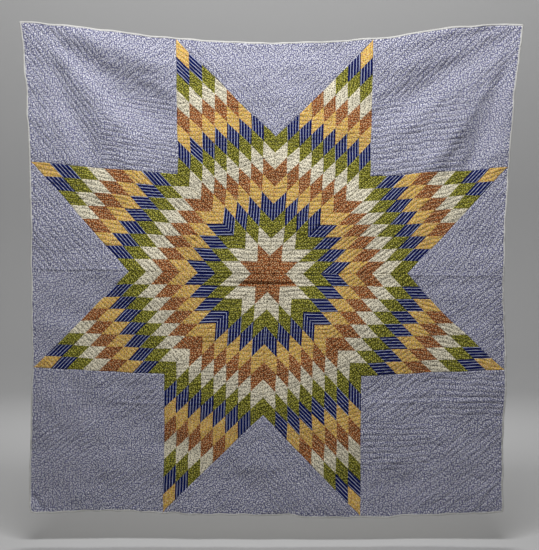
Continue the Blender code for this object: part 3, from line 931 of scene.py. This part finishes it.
def quilting_lines(panel):
    """Hung points along every stitched row of a panel, just proud of the dent they lie in."""
    lines = []
    for rows in panel.rows:
        along, across = direction(rows.angle), direction(rows.angle + 90)
        numbers = (np.array(rows.corners) - rows.origin) @ across / rows.gap
        for number in range(math.ceil(numbers.min()), math.floor(numbers.max()) + 1):
            origin = rows.origin + across * number * rows.gap
            low, high = clip_line((rows.corners, panel_outline(panel)), origin, along)
            if high - low < SHORTEST_ROW:
                continue
            spots = np.linspace(low, high, max(2, int((high - low) / SEWN_LINE_STEP) + 1))
            places = origin + spots[:, None] * along
            places = places - unevenness(places, *ROW_WANDER)[:, None] * across
            lines.append(hang(places, np.full(len(places), CLOTH_THICKNESS / 2 + SEWN_LINE_FORWARD)))
    return lines


# Binding

# Section of the folded strip: distance out from the panels' edge, and forward, in millimetres
BINDING_SECTION = (
    (2.2, 1.6), (2.5, 2.8), (4.0, 3.4), (6.4, 3.3), (8.6, 2.7), (9.7, 1.4),
    (10.0, 0.0), (9.7, -1.4), (8.6, -2.7), (6.4, -3.3), (4.0, -3.4), (2.4, -1.8),
)
BINDING_STEP = 0.005
CORNER_RADIUS = 0.006
# Unevenness of its fullness and of its width
BINDING_PLUMPNESS = (0.045, 0.10, 51)
BINDING_DRIFT = (0.11, 0.05, 52)
# Stitches that hold it down: how far out and forward they lie, how many stations they leave free at
# each end, and their slant in degrees
HEM_LINE_OUT = 0.0026
HEM_LINE_FORWARD = 0.0026
HEM_LINE_ENDS = 4
HEM_STITCH_SLANT = 55

# Binding strips: node, direction out of the quilt, whether it covers the quilt's corners
BINDING_STRIPS = (
    ("binding_top", (0, 1), True),
    ("binding_bottom", (0, -1), True),
    ("binding_left", (-1, 0), False),
    ("binding_right", (1, 0), False),
)


def binding_strip(name, out, covers_corners, finish):
    """Folded strip over one edge, a little uneven, with rounded ends where it turns the corner."""
    out = np.array(out, float)
    along = np.abs(out[::-1])
    reach = HALF_TOP + (BINDING_WIDTH if covers_corners else UNDER_BINDING / 2)
    stations = np.linspace(-reach, reach, int(2 * reach / BINDING_STEP) + 1)
    to_end = np.minimum(reach - np.abs(stations), CORNER_RADIUS) if covers_corners else CORNER_RADIUS
    cut_back = CORNER_RADIUS - np.sqrt(np.maximum(CORNER_RADIUS ** 2 - (CORNER_RADIUS - to_end) ** 2, 0))
    cut_back = np.broadcast_to(cut_back, stations.shape)
    spine = stations[:, None] * along + out * HALF_TOP
    plump, width = (1 + unevenness(spine, *field) for field in (BINDING_PLUMPNESS, BINDING_DRIFT))
    rings = []
    for outward, forward in BINDING_SECTION:
        reach_out = outward * MILLIMETRE * np.where(outward > 0, width, 1.0)
        reach_out = np.minimum(reach_out, BINDING_WIDTH * width - cut_back)
        places = spine + reach_out[:, None] * out
        rings.append(hang(places, forward * MILLIMETRE * plump))
    points = np.stack(rings, axis=1).reshape(-1, 3)

    count, rows = len(BINDING_SECTION), len(stations)
    a, b = np.meshgrid(np.arange(rows - 1), np.arange(count), indexing="ij")
    a, b = a.ravel(), b.ravel()
    here, after = a * count, (a + 1) * count
    following = (b + 1) % count
    fours = np.stack((here + b, after + b, after + following, here + following), axis=1)
    fan = np.arange(1, count - 1)
    first = np.stack((np.zeros_like(fan), fan, fan + 1), axis=1)
    threes = np.concatenate((first, first[:, ::-1] + (rows - 1) * count))
    if along[0] * out[1] < along[1] * out[0]:
        fours, threes = fours[:, ::-1], threes[:, ::-1]

    corners = np.concatenate((fours.ravel(), threes.ravel()))
    lengths = stations[corners // count]
    girth = np.append(0, np.cumsum(np.hypot(*np.diff(np.array(BINDING_SECTION), axis=0).T))) * MILLIMETRE
    layers = {
        "print": np.stack((lengths, girth[corners % count]), axis=1),
        "quilting": np.stack((lengths, np.full(len(corners), 0.5)), axis=1),
    }
    finish_numbers = np.zeros(len(fours) + len(threes))
    piece = cloth_object(name + "_strip", points, fours, threes, layers, finish_numbers, [finish])
    edge = spine[HEM_LINE_ENDS:-HEM_LINE_ENDS] + HEM_LINE_OUT * out
    return piece, hang(edge, np.full(len(edge), HEM_LINE_FORWARD))


# Studio

# The photograph: metres to a pixel, then its size, its middle and the star's centre in pixels
PIXEL = 0.0042
PHOTO_SIZE = (539, 550)
PHOTO_CENTRE = (269.5, 275.0)
STAR_CENTRE_IN_PHOTO = (268.5, 274.0)
# The camera's distance, and the room, whose wall is round and bends into the floor
CAMERA_DISTANCE = 5.6
FLOOR_BELOW_HEM = 0.10
STUDIO_RADIUS = 9.5
STUDIO_HEIGHT = 8.0
STUDIO_BEND = 2.0
STUDIO_SIDES = 96
BEND_STEPS = 12
PAPER_GREY = 0.50
AIR_STRENGTH = 0.03


def studio():
    """Round pale room wider than any camera's distance, soft lights, and the camera face on."""
    scene = bpy.context.scene
    scene.view_settings.view_transform = "Standard"
    middle_x = (PHOTO_CENTRE[0] - STAR_CENTRE_IN_PHOTO[0]) * PIXEL
    middle_z = (STAR_CENTRE_IN_PHOTO[1] - PHOTO_CENTRE[1]) * PIXEL - TOP_EDGE_HEIGHT

    lens = bpy.data.cameras.new("camera")
    lens.sensor_fit = "VERTICAL"
    lens.sensor_height = 36.0
    lens.lens = lens.sensor_height * CAMERA_DISTANCE / (PHOTO_SIZE[1] * PIXEL)
    camera = put("camera", lens)
    camera.location = (middle_x, -CAMERA_DISTANCE, middle_z)
    camera.rotation_euler = (math.radians(90), 0, 0)
    scene.camera = camera

    add_room(float(solid_box[0][2]) - FLOOR_BELOW_HEM)
    add_light("softbox above the front", (-0.05, -1.75, 1.3), (-0.05, 0.0, -0.9), (2.1, 0.8), 86.0)
    add_light("wash on the wall behind", (0.0, 5.2, 5.0), (0.0, STUDIO_RADIUS, 0.0), (6.0, 0.8), 240.0)
    add_light("light on the back", (0.0, 4.6, 2.6), (0.0, 0.0, -1.0), (2.4, 0.8), 140.0)
    world = bpy.data.worlds.new("studio air")
    world.use_nodes = True
    background = world.node_tree.nodes["Background"]
    Nodes(world.node_tree).give(background, {"Color": (1.0, 1.0, 1.0, 1.0), "Strength": AIR_STRENGTH})
    scene.world = world


def add_room(floor_height):
    """Pale floor that bends up into a round wall, so that no view meets a corner."""
    profile = []
    for k in range(BEND_STEPS + 1):
        turn = math.radians(90) * k / BEND_STEPS
        out = STUDIO_RADIUS - STUDIO_BEND + STUDIO_BEND * math.sin(turn)
        profile.append((out, floor_height + STUDIO_BEND * (1 - math.cos(turn))))
    profile.append((STUDIO_RADIUS, floor_height + STUDIO_HEIGHT))
    vertices = [
        (out * math.cos(turn), out * math.sin(turn), z)
        for out, z in profile
        for turn in np.linspace(0, math.tau, STUDIO_SIDES, endpoint=False)
    ]
    faces = [tuple(range(STUDIO_SIDES))]
    for ring in range(len(profile) - 1):
        for side in range(STUDIO_SIDES):
            here, after = ring * STUDIO_SIDES + side, ring * STUDIO_SIDES + (side + 1) % STUDIO_SIDES
            faces.append((after, here, here + STUDIO_SIDES, after + STUDIO_SIDES))
    mesh = bpy.data.meshes.new("room")
    mesh.from_pydata(vertices, [], faces)
    mesh.shade_smooth()
    colour = (PAPER_GREY, PAPER_GREY, PAPER_GREY, 1.0)
    mesh.materials.append(Recipe("pale paper").finish({"Base Color": colour, "Roughness": 0.95}))
    put("room", mesh)


def add_light(name, place, aim, size, power):
    """Soft light of a width and height, aimed at a point."""
    light = bpy.data.lights.new(name, "AREA")
    light.shape = "RECTANGLE"
    light.size, light.size_y = size
    light.energy = power
    lamp = put(name, light)
    lamp.location = place
    run = np.array(aim) - np.array(place)
    lamp.rotation_euler = (math.acos(-run[2] / np.linalg.norm(run)), 0, math.atan2(-run[0], run[1]))


# Putting the quilt together

def settle(piece, node):
    """Gives a finished cloth piece its place in the frame."""
    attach(piece, "root")
    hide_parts(node)


def star_point(name, angle, stripes, cottons, backing):
    """One point of the star, with each small diamond in its row's cotton."""
    panel = star_point_panel(name, angle)
    sides = np.stack((panel.first_side, panel.second_side))
    to_shares = np.linalg.inv(sides.T) * DIAMONDS_PER_SIDE
    cotton_numbers, print_angles = [], []
    for i in range(DIAMONDS_PER_SIDE):
        for j in range(DIAMONDS_PER_SIDE):
            row = i + j + 1
            side = "2"
            if row in NAVY_ROWS:
                side = stripes[NAVY_ROWS.index(row)][j - max(0, row - DIAMONDS_PER_SIDE)]
            cotton_numbers.append((row - 1) % len(cottons))
            print_angles.append(float(angle if side == "1" else angle + 45))

    def patch_of(places):
        cells = np.clip((places @ to_shares.T).astype(int), 0, DIAMONDS_PER_SIDE - 1)
        return cells[:, 0] * DIAMONDS_PER_SIDE + cells[:, 1]

    finishes = [*cottons, backing]
    numbers, angles = np.array(cotton_numbers), np.array(print_angles)
    return sew_panel(panel, finishes, patch_of, numbers, angles, 100 + angle), panel


def plain_panel(panel, cotton, backing, seed):
    """A panel cut from one cotton."""
    def patch_of(places):
        return np.zeros(len(places), dtype=int)

    return sew_panel(panel, [cotton, backing], patch_of, np.zeros(1, dtype=int), np.zeros(1), seed)


def main():
    rust, cream, green, gold, lavender = (printed_cotton(name) for name in (
        "rust dotted cotton", "cream shirting cotton", "green leaf cotton", "gold mottled cotton",
        "lavender sprig cotton",
    ))
    cottons = (rust, cream, green, navy_cotton(), gold)
    backing = plain_cotton("muslin backing", (0.60, 0.57, 0.50), (0.50, 0.47, 0.41))
    binding = plain_cotton("white binding cotton", (0.66, 0.655, 0.63), (0.58, 0.575, 0.55))
    thread = thread_finish()
    stitch = stitch_mesh(thread)
    tree, sockets = running_stitch_tree(thread)

    star_lines, square_lines, triangle_lines, hem_lines = [], [], [], []
    for name, angle, stripes in STAR_POINTS:
        piece, panel = star_point(name, angle, stripes, cottons, backing)
        settle(piece, name)
        star_lines += quilting_lines(panel)
    for name, right, top in CORNER_SQUARES:
        panel = corner_square_panel(name, right, top)
        piece = plain_panel(panel, lavender, backing, 200 + right + 3 * top)
        settle(piece, name)
        square_lines += quilting_lines(panel)
    for name, angle, first_rows, second_rows in SIDE_TRIANGLES:
        panel = side_triangle_panel(name, angle, first_rows, second_rows)
        piece = plain_panel(panel, lavender, backing, 300 + angle)
        settle(piece, name)
        triangle_lines += quilting_lines(panel)
    for name, out, covers_corners in BINDING_STRIPS:
        piece, hem_line = binding_strip(name, out, covers_corners, binding)
        settle(piece, name)
        hem_lines.append(hem_line)

    for name, lines, slant, slot in (
        ("star_stitches", star_lines, 0, "star_point"),
        ("square_stitches", square_lines, 0, "ground_square"),
        ("triangle_stitches", triangle_lines, 0, "ground_triangle"),
        ("binding_stitches", hem_lines, HEM_STITCH_SLANT, "binding"),
    ):
        stitches = sew_lines(name, lines, math.radians(slant), tree, sockets, stitch)
        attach(stitches, "root")
    bpy.data.objects.remove(stitch)
    studio()


main()
